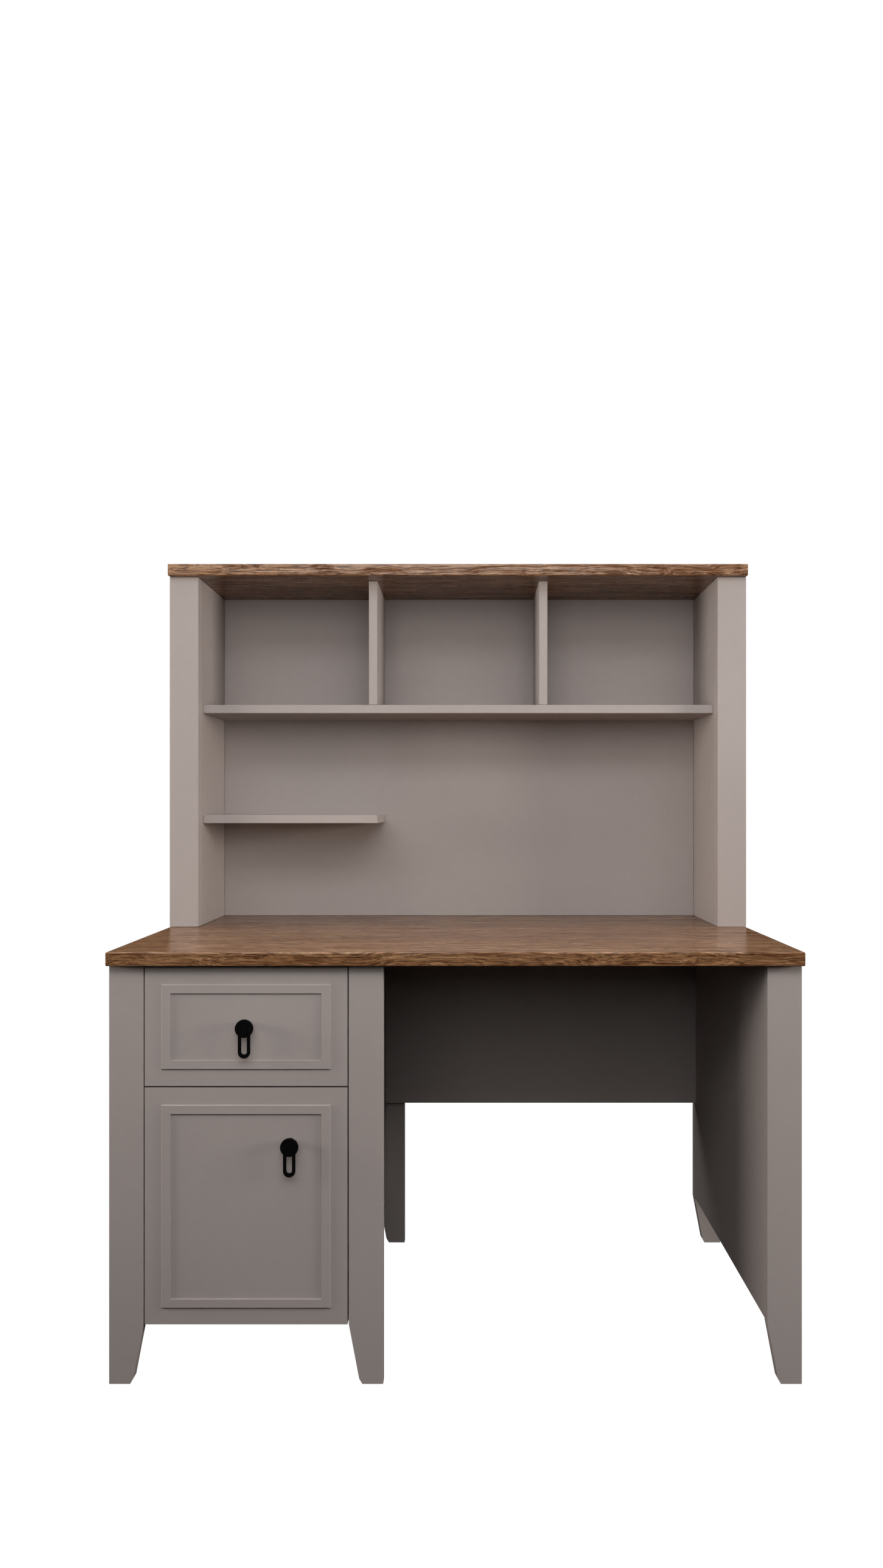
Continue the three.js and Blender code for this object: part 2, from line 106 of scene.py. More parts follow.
# Hinge cup: its bowl, its flange with two ears, and the pin across it.
# The lip is how far the CAD cup's rim passes the bowl, and the foot is how far the bowl's bottom tapers.
CUP_SEGMENTS = 96
CUP_INNER_RADIUS = 16.25 * MM
CUP_LIP = 1.75 * MM
CUP_FOOT = 2 * MM
CUP_FLANGE = 1.0 * MM
CUP_RIM_RADIUS = 19 * MM
CUP_EAR_REACH = 24 * MM
CUP_EAR_WIDTH = 6.5 * MM
CUP_SCREW = (3.4 * MM, 1.5 * MM)
PIN_RADIUS = 1.5 * MM
PIN_REACH = 0.72 * CUP_INNER_RADIUS
PIN_OFFSET = 0.62 * CUP_INNER_RADIUS
PIN_DEPTH = 6.5 * MM

# Hinge arm: its plate on the side panel, and the arm, which cranks to a nose over the cup
PLATE_THICKNESS = 1.6 * MM
PLATE_LENGTH = 42 * MM
PLATE_CORNER = 5 * MM
PLATE_SCREW_INSET = 12 * MM
BLOCK_OVERLAP = 6 * MM
BLOCK_INSET = 4 * MM
BLOCK_CORNER = 2 * MM
BLOCK_SHARE = 0.8
ARM_UNDERSIDE = 6 * MM
ARM_TOP = 16 * MM
ARM_INSET = 8 * MM
ARM_CORNER = 3 * MM
ARM_BEND = 6 * MM
ARM_SCREWS_AT = (8 * MM, 22 * MM)
ARM_SCREW = (2.8 * MM, 1.4 * MM)
CRANK_RADIUS = 9 * MM
NOSE_CLEARANCE = 2 * MM
NOSE_HEIGHT = 8 * MM
NOSE_INSET = 1 * MM
NOSE_LENGTH = 8 * MM
NOSE_SLOPE = 2 * MM
NOSE_DIP = 3 * MM

# Hinge link: it starts at this offset from the arm's nose, and bends this far off the straight line
LINK_WIDTH = 9 * MM
LINK_THICKNESS = 1.8 * MM
LINK_STEPS = 20
LINK_START = Vector((-5, 1, 0)) * MM
LINK_BEND = Vector((1.5, -2.5, 0)) * MM

# Drawer runners
CHANNEL_WALL = 1.3 * MM
CHANNEL_BEND = 2.2 * MM
CABINET_SCREW = (3.2 * MM, 0.9 * MM)
DRAWER_SCREW = (3.2 * MM, 0.5 * MM)
RUNNER_SCREWS_AT = (0.07, 0.42, 0.8)
BALL_PITCH = 14 * MM
BALLS_IN_ROW = 14
BALL_FIT = 0.98
CAGE_HALF_WIDTH = 1.7 * MM
CAGE_HALF_THICKNESS = 0.25 * MM
CAGE_CORNER = 0.2 * MM

# Screws. A head is a radius and a height. Its profile goes by shares of them, and so does its cross.
HEAD_SEGMENTS = 32
SMALL_HEAD_SEGMENTS = 24
HEAD_PROFILE = ((1, 0), (1, 0.35), (0.93, 0.7), (0.8, 0.9), (0.62, 1))
CROSS_ARM = 0.11
CROSS_REACH = 0.46
CROSS_DEPTH = 0.6
CROSS_TAPER = 0.8
PULL_SCREW_HEAD = 2.5 * MM
PULL_SCREW_SHANK = 2.0 * MM
THREAD_PITCH = 0.7 * MM
THREAD_ROOT = 0.84

# Shelf pins: a plug in the panel with ribs round it, a collar, and a plug under the shelf
SHELF_PIN_REACH = 8 * MM
SHELF_PIN_RADIUS = 2.5 * MM
RIBS = 5
RIB_PITCH = 1.3 * MM
RIB_DEPTH = 0.86


# Materials

class Shader:
    """One procedural material: its node tree, its surface shader and its object coordinates."""

    def __init__(self, name):
        self.material = bpy.data.materials.new(name)
        self.material.use_nodes = True
        self.tree = self.material.node_tree
        self.surface = self.tree.nodes["Principled BSDF"]
        self.place = self.add("ShaderNodeTexCoord").outputs["Object"]

    def add(self, kind, inputs=None, **settings):
        """A node of that kind. An input is a number, a colour, or another node's output."""
        made = self.tree.nodes.new(kind)
        for key, value in settings.items():
            setattr(made, key, value)
        for key, value in (inputs or {}).items():
            if isinstance(value, bpy.types.NodeSocket):
                self.tree.links.new(value, made.inputs[key])
            else:
                made.inputs[key].default_value = value
        return made

    def set(self, **inputs):
        for key, value in inputs.items():
            socket = self.surface.inputs[key.replace("_", " ")]
            if isinstance(value, bpy.types.NodeSocket):
                self.tree.links.new(value, socket)
            else:
                socket.default_value = value

    def stretched(self, factors, shift=(0, 0, 0)):
        made = self.add("ShaderNodeMapping", {"Vector": self.place, "Scale": factors, "Location": shift})
        return made.outputs["Vector"]

    def noise(self, vector, scale, detail=2.0, roughness=0.5, distortion=0.0):
        made = self.add("ShaderNodeTexNoise", {
            "Vector": vector, "Scale": scale, "Detail": detail,
            "Roughness": roughness, "Distortion": distortion})
        return made.outputs["Fac"]

    def grain(self, along, across, detail, roughness=0.5, distortion=0.0, shift=(0, 0, 0)):
        """Noise drawn out along X. The first two numbers are its cells per metre."""
        return self.noise(self.stretched((along, across, across), shift), 1.0, detail, roughness, distortion)

    def remap(self, value, low, high, to_low=0.0, to_high=1.0):
        made = self.add("ShaderNodeMapRange", {
            "Value": value, "From Min": low, "From Max": high, "To Min": to_low, "To Max": to_high})
        return made.outputs["Result"]

    def math(self, operation, first, second=0.0):
        made = self.add("ShaderNodeMath", {0: first, 1: second}, operation=operation)
        return made.outputs["Value"]

    def distance(self, first, second):
        """Length of a pair of coordinates."""
        squares = self.math("MULTIPLY", first, first), self.math("MULTIPLY", second, second)
        return self.math("SQRT", self.math("ADD", *squares))

    def axes(self, vector):
        made = self.add("ShaderNodeSeparateXYZ", {"Vector": vector})
        return made.outputs["X"], made.outputs["Y"], made.outputs["Z"]

    def mix(self, factor, first, second, blend="MIX"):
        made = self.add("ShaderNodeMix", data_type="RGBA", blend_type=blend)
        for socket, value in (("Factor_Float", factor), ("A_Color", first), ("B_Color", second)):
            target = next(i for i in made.inputs if i.identifier == socket)
            if isinstance(value, bpy.types.NodeSocket):
                self.tree.links.new(value, target)
            else:
                target.default_value = value
        return next(o for o in made.outputs if o.identifier == "Result_Color")

    def bump(self, height, strength, distance):
        made = self.add("ShaderNodeBump", {"Height": height, "Strength": strength, "Distance": distance})
        return made.outputs["Normal"]


def colour(red, green, blue):
    """An sRGB colour, 0 to 255, as the linear colour that nodes take."""
    def linear(value):
        value /= 255
        return value / 12.92 if value <= 0.04045 else ((value + 0.055) / 1.055) ** 2.4
    return (linear(red), linear(green), linear(blue), 1.0)


def lacquer():
    """Satin greige lacquer with a faint orange peel and a slow change of tone."""
    s = Shader("greige_lacquer")
    cloud = s.noise(s.place, 2.2, detail=3)
    tone = s.mix(s.remap(cloud, 0.35, 0.65), colour(163, 154, 151), colour(168, 159, 156))
    mottle = s.remap(s.noise(s.place, 60, detail=4), 0.3, 0.7, 0.985, 1.01)
    tint = s.add("ShaderNodeCombineColor", {"Red": mottle, "Green": mottle, "Blue": mottle})
    s.set(Base_Color=s.mix(1.0, tone, tint.outputs["Color"], "MULTIPLY"))
    s.set(Roughness=s.remap(s.noise(s.place, 35, detail=3), 0.3, 0.7, 0.46, 0.56))
    s.set(Normal=s.bump(s.noise(s.place, 420), 0.10, 0.0004), IOR=1.42)
    return s.material


def oak():
    """Rustic oak, its grain along X: growth rings that bend round knots, fibres, pores and cracks."""
    s = Shader("oak_decor")
    x, y, z = s.axes(s.place)

    # Knots sit on a sparse jittered grid, longer along the grain.
    knots = s.add("ShaderNodeTexVoronoi", {"Vector": s.stretched((3.4, 10, 10)), "Scale": 1.0})
    near_knot = s.math("POWER", s.remap(knots.outputs["Distance"], 0.0, 0.34, 1.0, 0.0), 2.0)

    # The grain sways along the board and swerves round the knots.
    sway = s.grain(3.2, 9, detail=3)
    bend = s.math("MULTIPLY", s.math("SUBTRACT", sway, 0.5), 0.07)
    bend = s.math("ADD", bend, s.math("MULTIPLY", near_knot, 0.016))
    swayed = s.add("ShaderNodeCombineXYZ", {"X": x, "Y": s.math("ADD", y, bend), "Z": s.math("ADD", z, bend)})
    s.place = swayed.outputs["Vector"]

    # Rings round a tree axis below the board.
    _, y, z = s.axes(s.place)
    across = s.math("ADD", y, 0.04)
    down = s.math("SUBTRACT", z, 0.66)
    radius = s.distance(across, down)
    ripple = s.grain(9, 60, detail=3)
    phase = s.math("ADD", s.math("MULTIPLY", radius, 130.0), s.math("MULTIPLY", ripple, 3.0))
    late_wood = s.math("POWER", s.math("FRACT", phase), 3.0)

    # From coarse to fine.
    bands = s.grain(0.8, 18, detail=6, roughness=0.6)
    blotch = s.grain(5, 22, detail=4, distortion=0.8, shift=(5, 2, 1))
    swirl = s.grain(4.5, 60, detail=5, roughness=0.55, distortion=2.2, shift=(3, 1, 7))
    crack = s.math("ABSOLUTE", s.math("SUBTRACT", swirl, 0.5))
    streaks = s.grain(3.0, 110, detail=4, roughness=0.65, shift=(2, 4, 9))
    fibre = s.grain(14, 400, detail=3, roughness=0.75)
    pores = s.grain(20, 620, detail=2, roughness=0.6)

    # Each layer of tone goes over the ones before it, as strongly as its first entry says.
    tone = s.mix(s.remap(bands, 0.36, 0.66), colour(128, 89, 60), colour(160, 119, 84))
    for strength, layer in (
            (s.remap(blotch, 0.42, 0.68, 0.0, 0.60), colour(106, 66, 38)),
            (s.math("MULTIPLY", late_wood, 0.5), colour(90, 55, 31)),
            (s.remap(streaks, 0.32, 0.48, 0.65, 0.0), colour(80, 47, 26)),
            (s.remap(streaks, 0.52, 0.68, 0.0, 0.45), colour(188, 147, 106)),
            (s.remap(fibre, 0.38, 0.50, 0.80, 0.0), colour(74, 46, 29)),
            (s.remap(fibre, 0.52, 0.66, 0.0, 0.45), colour(194, 153, 112)),
            (s.remap(pores, 0.55, 0.61, 0.0, 0.65), colour(48, 27, 15)),
            (s.remap(crack, 0.004, 0.020, 0.60, 0.0), colour(50, 28, 16)),
            (s.remap(near_knot, 0.40, 0.90, 0.0, 0.8), colour(50, 28, 16))):
        tone = s.mix(strength, tone, layer)
    s.set(Base_Color=tone, Roughness=s.remap(fibre, 0.3, 0.7, 0.30, 0.20), IOR=1.5)

    # The open grain is dull and the flat of the wood is glossy.
    closed = s.math("ADD", streaks, fibre)
    s.set(Specular_IOR_Level=s.remap(closed, 0.88, 1.12, 0.05, 0.75))
    relief = s.math("SUBTRACT", fibre, s.math("MULTIPLY", s.remap(pores, 0.56, 0.70), 0.8))
    relief = s.math("SUBTRACT", relief, s.remap(crack, 0.004, 0.022, 0.9, 0.0))
    s.set(Normal=s.bump(relief, 0.12, 0.0003))
    return s.material


def carcass_board():
    """Light grey melamine-faced board with a fine pearl."""
    s = Shader("carcass_board")
    pearl = s.noise(s.place, 900, detail=2)
    cloud = s.noise(s.place, 6, detail=3)
    tone = s.mix(s.remap(pearl, 0.35, 0.65), colour(182, 176, 169), colour(194, 189, 183))
    tone = s.mix(s.remap(cloud, 0.3, 0.7, 0.0, 0.3), tone, colour(176, 170, 163))
    s.set(Base_Color=tone, Roughness=s.remap(pearl, 0.3, 0.7, 0.48, 0.56))
    s.set(Normal=s.bump(pearl, 0.12, 0.0002))
    return s.material


def zinc_steel():
    """Zinc-plated steel with a drawn grain along Y and faint handling marks."""
    s = Shader("zinc_steel")
    drawn = s.noise(s.stretched((400, 12, 400)), 1.0, detail=4)
    smudge = s.noise(s.place, 55, detail=4)
    tone = s.mix(drawn, colour(172, 174, 177), colour(206, 207, 209))
    tone = s.mix(s.remap(smudge, 0.45, 0.75, 0.0, 0.35), tone, colour(158, 156, 152))
    s.set(Base_Color=tone, Metallic=1.0)
    s.set(Roughness=s.remap(s.math("ADD", drawn, smudge), 0.7, 1.3, 0.24, 0.44))
    s.set(Normal=s.bump(drawn, 0.08, 0.0002))
    return s.material


def black_metal():
    """Black powder coat with its fine grain."""
    s = Shader("black_metal")
    grit = s.noise(s.place, 1500, detail=2)
    s.set(Base_Color=s.mix(grit, colour(3, 3, 4), colour(9, 9, 10)), IOR=1.2)
    s.set(Roughness=s.remap(grit, 0.3, 0.7, 0.5, 0.66))
    s.set(Normal=s.bump(grit, 0.25, 0.0002))
    return s.material


MATERIALS = {
    "greige_lacquer": lacquer(),
    "oak_decor": oak(),
    "carcass_board": carcass_board(),
    "zinc_steel": zinc_steel(),
    "black_metal": black_metal(),
}


# CAD solids with rounded edges

def edge_radius(name):
    slot = SLOT_OF[name]
    if slot == "oak_decor":
        return OAK_EDGE
    if slot == "black_metal":
        return PULL_EDGE
    if name in FRONT_NODES:
        return FRONT_EDGE
    if name in MOULDING_NODES:
        return MOULDING_EDGE
    if name.startswith("leg_"):
        return LEG_EDGE
    if name.startswith("hutch_"):
        return HUTCH_EDGE
    return PANEL_EDGE


def round_edges(piece, width, segments):
    bevel = piece.modifiers.new("rounded_edges", "BEVEL")
    bevel.width = width
    bevel.segments = segments
    bevel.limit_method = "ANGLE"
    bevel.angle_limit = SHARP_ANGLE


def finish_node(name):
    """Rounds a CAD node's edges with modifiers and gives it its slot's material."""
    node = NODES[name]
    slot = SLOT_OF[name]
    node.data.materials.clear()
    node.data.materials.append(MATERIALS[slot])
    for polygon in node.data.polygons:
        polygon.use_smooth = True
    weld = node.modifiers.new("weld", "WELD")
    weld.merge_threshold = WELD_DISTANCE
    flat = node.modifiers.new("flat_faces", "DECIMATE")
    flat.decimate_type = "DISSOLVE"
    flat.angle_limit = FLAT_ANGLE
    round_edges(node, edge_radius(name), segments=3)
    soft = node.modifiers.new("face_normals", "WEIGHTED_NORMAL")
    soft.mode = "FACE_AREA"
    soft.weight = 100


# Mesh helpers

def make_object(name, mesh_data):
    mesh = bpy.data.meshes.new(name)
    mesh_data.to_mesh(mesh)
    mesh_data.free()
    made = bpy.data.objects.new(name, mesh)
    bpy.context.scene.collection.objects.link(made)
    return made


def make_piece(name, mesh_data, slot, body, *replaced, edge=0.0):
    """A smooth piece from a bmesh, riding on a body and standing for the replaced nodes."""
    bmesh.ops.recalc_face_normals(mesh_data, faces=mesh_data.faces)
    piece = make_object(name, mesh_data)
    piece.data.materials.append(MATERIALS[slot])
    for polygon in piece.data.polygons:
        polygon.use_smooth = True
    if edge:
        round_edges(piece, edge, segments=2)
    soft = piece.modifiers.new("face_normals", "WEIGHTED_NORMAL")
    soft.keep_sharp = True
    if body is not None:
        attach(piece, body)
    if replaced:
        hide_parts(*replaced)
    return piece


def add_skin(mesh_data, rings):
    """Joins rings of points with faces, leaves both ends open, and returns the rings' vertices."""
    made = [[mesh_data.verts.new(point) for point in ring] for ring in rings]
    for first, second in zip(made, made[1:]):
        count = max(len(first), len(second))
        for i in range(count):
            j = (i + 1) % count
            corners = [first[i % len(first)], first[j % len(first)],
                       second[j % len(second)], second[i % len(second)]]
            mesh_data.faces.new(list(dict.fromkeys(corners)))
    return made


def add_solid(mesh_data, rings):
    """Joins rings of points into a closed skin. A ring of one point is a tip."""
    made = add_skin(mesh_data, rings)
    for end in (made[0], made[-1]):
        if len(end) > 2:
            mesh_data.faces.new(end)


def add_prism(mesh_data, outline, start, end, place):
    """Extrudes a closed outline of pairs from start to end. place turns (a, b, h) into a point."""
    add_solid(mesh_data, [[place(a, b, h) for a, b in outline] for h in (start, end)])


def ring_points(place, radius, height, segments):
    """A ring round an axis. Its radius is a number or a function of the angle."""
    points = []
    for i in range(segments):
        angle = 2 * math.pi * i / segments
        reach = radius(angle) if callable(radius) else radius
        points.append(place(reach * math.cos(angle), reach * math.sin(angle), height))
    return points


def add_turned(mesh_data, profile, place, segments):
    """A turned solid from pairs of radius and height."""
    add_solid(mesh_data, [ring_points(place, radius, height, segments if radius else 1)
                          for radius, height in profile])


def facing(centre, axis):
    """Turns (a, b, h) into a point, with h along that axis from the centre."""
    turn = Vector(axis).to_track_quat("Z", "Y").to_matrix()
    return lambda a, b, h: Vector(centre) + turn @ Vector((a, b, h))


def add_screw_head(mesh_data, place, head, segments=SMALL_HEAD_SEGMENTS):
    """A pan head with a cross recess. Its seat is at height zero."""
    radius, height = head
    skin = add_skin(mesh_data, [ring_points(place, across * radius, up * height, segments)
                                for across, up in HEAD_PROFILE])
    mesh_data.faces.new(skin[0])

    arm, reach = CROSS_ARM * radius, CROSS_REACH * radius
    cross = [(reach, -arm), (reach, arm), (arm, arm), (arm, reach), (-arm, reach), (-arm, arm),
             (-reach, arm), (-reach, -arm), (-arm, -arm), (-arm, -reach), (arm, -reach), (arm, -arm)]
    bottom = (1 - CROSS_DEPTH) * height
    recess = add_skin(mesh_data, [[place(a, b, height) for a, b in cross],
                                  [place(CROSS_TAPER * a, CROSS_TAPER * b, bottom) for a, b in cross]])
    mesh_data.faces.new(recess[1])
    rim = [mesh_data.edges.get((loop[i], loop[(i + 1) % len(loop)]))
           for loop in (skin[-1], recess[0]) for i in range(len(loop))]
    bmesh.ops.triangle_fill(mesh_data, use_beauty=True, edges=rim)


def arc(centre, radius, start, end, steps):
    """Points on an arc, its angles in degrees."""
    angles = [math.radians(start + (end - start) * i / steps) for i in range(steps + 1)]
    return [(centre[0] + radius * math.cos(a), centre[1] + radius * math.sin(a)) for a in angles]


def rounded_box(low, high, radius, steps=4):
    """Outline of a rectangle with round corners, from one corner's pair to the other's."""
    corners = [((high[0] - radius, low[1] + radius), -90), ((high[0] - radius, high[1] - radius), 0),
               ((low[0] + radius, high[1] - radius), 90), ((low[0] + radius, low[1] + radius), 180)]
    return [point for centre, start in corners for point in arc(centre, radius, start, start + 90, steps)]


# Pull screws and shelf pins

def make_pull_screw(name, body):
    """Pan-head machine screw through the front from inside, into the rosette."""
    low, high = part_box(name)
    centre = (low + high) / 2
    length = high.y - PULL_SCREW_HEAD - low.y
    mesh_data = bmesh.new()
    seat = facing((centre.x, high.y - PULL_SCREW_HEAD, centre.z), (0, 1, 0))
    add_screw_head(mesh_data, seat, ((high.x - low.x) / 2, PULL_SCREW_HEAD), HEAD_SEGMENTS)
    shank = PULL_SCREW_SHANK
    profile = [(0, 0), (0.8 * shank, 0), (shank, 0.4 * THREAD_PITCH)]
    for turn in range(1, int(length / THREAD_PITCH)):
        profile += [(shank, turn * THREAD_PITCH), (THREAD_ROOT * shank, (turn + 0.5) * THREAD_PITCH)]
    profile += [(shank, length - 0.1 * MM), (0, length - 0.05 * MM)]
    add_turned(mesh_data, profile, facing((centre.x, low.y, centre.z), (0, 1, 0)), 24)
    make_piece(f"{name}_detailed", mesh_data, "zinc_steel", body, name)


def make_shelf_pin(name):
    """Ribbed plug in the panel, a collar, and a smooth plug under the shelf."""
    low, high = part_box(name)
    centre = (low + high) / 2
    inward = 1 if "_left_" in name else -1
    wall = low.x + SHELF_PIN_REACH if inward > 0 else high.x - SHELF_PIN_REACH
    plug, collar, reach = SHELF_PIN_RADIUS, (high.z - low.z) / 2, SHELF_PIN_REACH
    profile = [(0, -reach), (0.8 * plug, -reach), (plug, -0.9 * reach)]
    for rib in range(RIBS):
        start = rib * RIB_PITCH - 6.8 * MM
        profile += [(plug, start), (RIB_DEPTH * plug, start + 0.3 * MM), (RIB_DEPTH * plug, start + 0.7 * MM),
                    (plug, start + 1.0 * MM)]
    profile += [(plug, 0.3 * MM), (0.94 * collar, 0.3 * MM), (collar, 0.6 * MM), (collar, 1.5 * MM),
                (0.9 * collar, 1.8 * MM), (plug, 1.8 * MM), (plug, reach - 0.6 * MM), (0.8 * plug, reach),
                (0, reach)]
    mesh_data = bmesh.new()
    add_turned(mesh_data, profile, facing((wall, centre.y, centre.z), (inward, 0, 0)), 28)
    make_piece(f"{name}_detailed", mesh_data, "zinc_steel", "carcass", name)


# Concealed hinges

def ear_radius(angle):
    """Outline of the cup's flange: a round rim with a round-ended ear above and below it."""
    across, along = abs(math.cos(angle)), abs(math.sin(angle))
    side = CUP_EAR_WIDTH / across if along * CUP_EAR_WIDTH < across * CUP_EAR_REACH else 0
    inside = CUP_EAR_WIDTH ** 2 - (CUP_EAR_REACH * across) ** 2
    tip = CUP_EAR_REACH * along + math.sqrt(inside) if inside > 0 else 0
    return max(CUP_RIM_RADIUS, side, tip)


def make_hinge_cup(name):
    """Pressed steel cup with its flange, two screws, and the pin that the link turns on."""
    low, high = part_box(name)
    centre = (low + high) / 2
    depth = high.y - low.y
    face = high.y

    def place(a, b, h):
        return Vector((centre.x + a, face + h, centre.z + b))

    outer = (high.x - low.x) / 2 - CUP_LIP
    inner = CUP_INNER_RADIUS
    profile = (
        (outer - CUP_FOOT, -depth),
        (outer, -depth + CUP_FOOT),
        (outer, -CUP_FLANGE),
        (ear_radius, -CUP_FLANGE),
        (lambda angle: ear_radius(angle) - 0.1 * MM, -0.3 * CUP_FLANGE),
        (lambda angle: ear_radius(angle) - 0.4 * MM, 0),
        (inner + 0.8 * MM, 0),
        (inner + 0.2 * MM, -0.3 * MM),
        (inner, -1.0 * MM),
        (inner, -depth + 3.2 * MM),
        (inner - 0.8 * MM, -depth + 1.6 * MM),
        (inner - 2.6 * MM, -depth + 1.0 * MM),
    )
    mesh_data = bmesh.new()
    add_solid(mesh_data, [ring_points(place, radius, height, CUP_SEGMENTS) for radius, height in profile])
    for side in (-1, 1):
        seat = (centre.x, face, centre.z + side * CUP_EAR_REACH)
        add_screw_head(mesh_data, facing(seat, (0, 1, 0)), CUP_SCREW, HEAD_SEGMENTS)
    pin = [(0, -PIN_REACH), (PIN_RADIUS, -PIN_REACH), (PIN_RADIUS, PIN_REACH), (0, PIN_REACH)]
    add_turned(mesh_data, pin, facing((centre.x - PIN_OFFSET, face - PIN_DEPTH, centre.z), (0, 0, 1)), 16)
    make_piece(f"{name}_detailed", mesh_data, "zinc_steel", "door", name)


def make_hinge_arm(name):
    """Mounting plate on the side panel, and the cranked arm clipped on it."""
    low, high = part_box(name)
    middle = (low.z + high.z) / 2
    wall = low.x
    half = (high.z - low.z) / 4
    mesh_data = bmesh.new()

    def on_wall(a, b, h):
        return Vector((h, a, middle + b))

    def from_above(a, b, h):
        return Vector((a, b, middle + h))

    plate_front = high.y - PLATE_LENGTH
    plate = rounded_box((plate_front, -2 * half), (high.y, 2 * half), PLATE_CORNER)
    add_prism(mesh_data, plate, wall, wall + PLATE_THICKNESS, on_wall)
    block = rounded_box((plate_front - BLOCK_OVERLAP, -BLOCK_SHARE * half),
                        (high.y - BLOCK_INSET, BLOCK_SHARE * half), BLOCK_CORNER)
    add_prism(mesh_data, block, wall + PLATE_THICKNESS, wall + ARM_UNDERSIDE, on_wall)

    # Seen from above, the arm goes along the plate, then bends round to its nose over the cup.
    under, over = wall + ARM_UNDERSIDE, wall + ARM_TOP
    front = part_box("hinge_cup_1")[1].y + NOSE_CLEARANCE
    nose = high.x - NOSE_INSET
    rear = high.y - ARM_INSET
    outline = [(under, rear), (over - ARM_CORNER, rear)]
    outline += arc((over - ARM_CORNER, rear - ARM_CORNER), ARM_CORNER, 90, 0, 4)
    outline += arc((over + CRANK_RADIUS, front + NOSE_HEIGHT + CRANK_RADIUS), CRANK_RADIUS, 180, 270, 8)
    outline += arc((nose - ARM_CORNER, front + NOSE_HEIGHT - ARM_CORNER), ARM_CORNER, 90, 0, 4)
    outline += [(nose, front - NOSE_DIP), (nose - NOSE_LENGTH, front - NOSE_DIP),
                (nose - NOSE_LENGTH - NOSE_SLOPE, front + 0.5 * MM)]
    outline += arc((under + ARM_BEND, front + ARM_BEND), ARM_BEND, 270, 180, 6)
    add_prism(mesh_data, outline, -half, half, from_above)

    seats = [(wall + PLATE_THICKNESS, high.y - PLATE_SCREW_INSET, middle + side * 1.5 * half)
             for side in (-1, 1)]
    seats += [(over, rear - along, middle) for along in ARM_SCREWS_AT]
    for seat in seats:
        add_screw_head(mesh_data, facing(seat, (1, 0, 0)), ARM_SCREW)
    make_piece(f"{name}_detailed", mesh_data, "zinc_steel", "carcass", name, edge=0.5 * MM)


def make_hinge_link(index):
    """Curved link between the arm's nose and the cup's pin. It rides on no body."""
    cup_low, cup_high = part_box(f"hinge_cup_{index}")
    cup = (cup_low + cup_high) / 2
    start = Vector((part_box(f"hinge_arm_{index}")[1].x, cup_high.y, cup.z)) + LINK_START
    end = Vector((cup.x - PIN_OFFSET, cup_high.y - PIN_DEPTH, cup.z))
    bend = (start + end) / 2 + LINK_BEND
    spine = [(1 - t) ** 2 * start + 2 * t * (1 - t) * bend + t * t * end
             for t in (i / LINK_STEPS for i in range(LINK_STEPS + 1))]
    up = Vector((0, 0, LINK_WIDTH / 2))
    rings = []
    for i, point in enumerate(spine):
        ahead = spine[min(i + 1, LINK_STEPS)] - spine[max(i - 1, 0)]
        side = Vector((-ahead.y, ahead.x, 0)).normalized() * LINK_THICKNESS / 2
        rings.append([point + side + up, point - side + up, point - side - up, point + side - up])
    mesh_data = bmesh.new()
    add_solid(mesh_data, rings)
    link = make_piece(f"hinge_link_{index}", mesh_data, "zinc_steel", None, edge=0.4 * MM)
    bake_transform(link)


# Drawer runners

def channel_outline(height, depth):
    """Section of a channel with round bends, as pairs of distance from the web's outside and height."""
    half = height / 2
    low, high = (CHANNEL_BEND, CHANNEL_BEND - half), (CHANNEL_BEND, half - CHANNEL_BEND)
    inside = CHANNEL_BEND - CHANNEL_WALL
    outer = arc(high, CHANNEL_BEND, 90, 180, 5) + arc(low, CHANNEL_BEND, 180, 270, 5)
    inner = arc(low, inside, 270, 180, 5) + arc(high, inside, 180, 90, 5)
    return ([(depth, half)] + outer + [(depth, -half), (depth, CHANNEL_WALL - half)]
            + inner + [(depth, half - CHANNEL_WALL)])


def make_channel(side, member, body, screw=None):
    """One runner member, with the heads of the screws through its web."""
    name = f"runner_{side}_{member}_member"
    low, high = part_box(name)
    middle = (low.z + high.z) / 2
    web_is_left = (side == "left") != (member == "drawer")
    web, opening = (low.x, 1) if web_is_left else (high.x, -1)
    mesh_data = bmesh.new()
    add_prism(mesh_data, channel_outline(high.z - low.z, high.x - low.x), low.y, high.y,
              lambda a, b, h: Vector((web + opening * a, h, middle + b)))
    for share in RUNNER_SCREWS_AT if screw else ():
        seat = (web + opening * CHANNEL_WALL, low.y + share * (high.y - low.y), middle)
        add_screw_head(mesh_data, facing(seat, (opening, 0, 0)), screw)
    make_piece(f"{name}_detailed", mesh_data, "zinc_steel", body, name, edge=0.2 * MM)


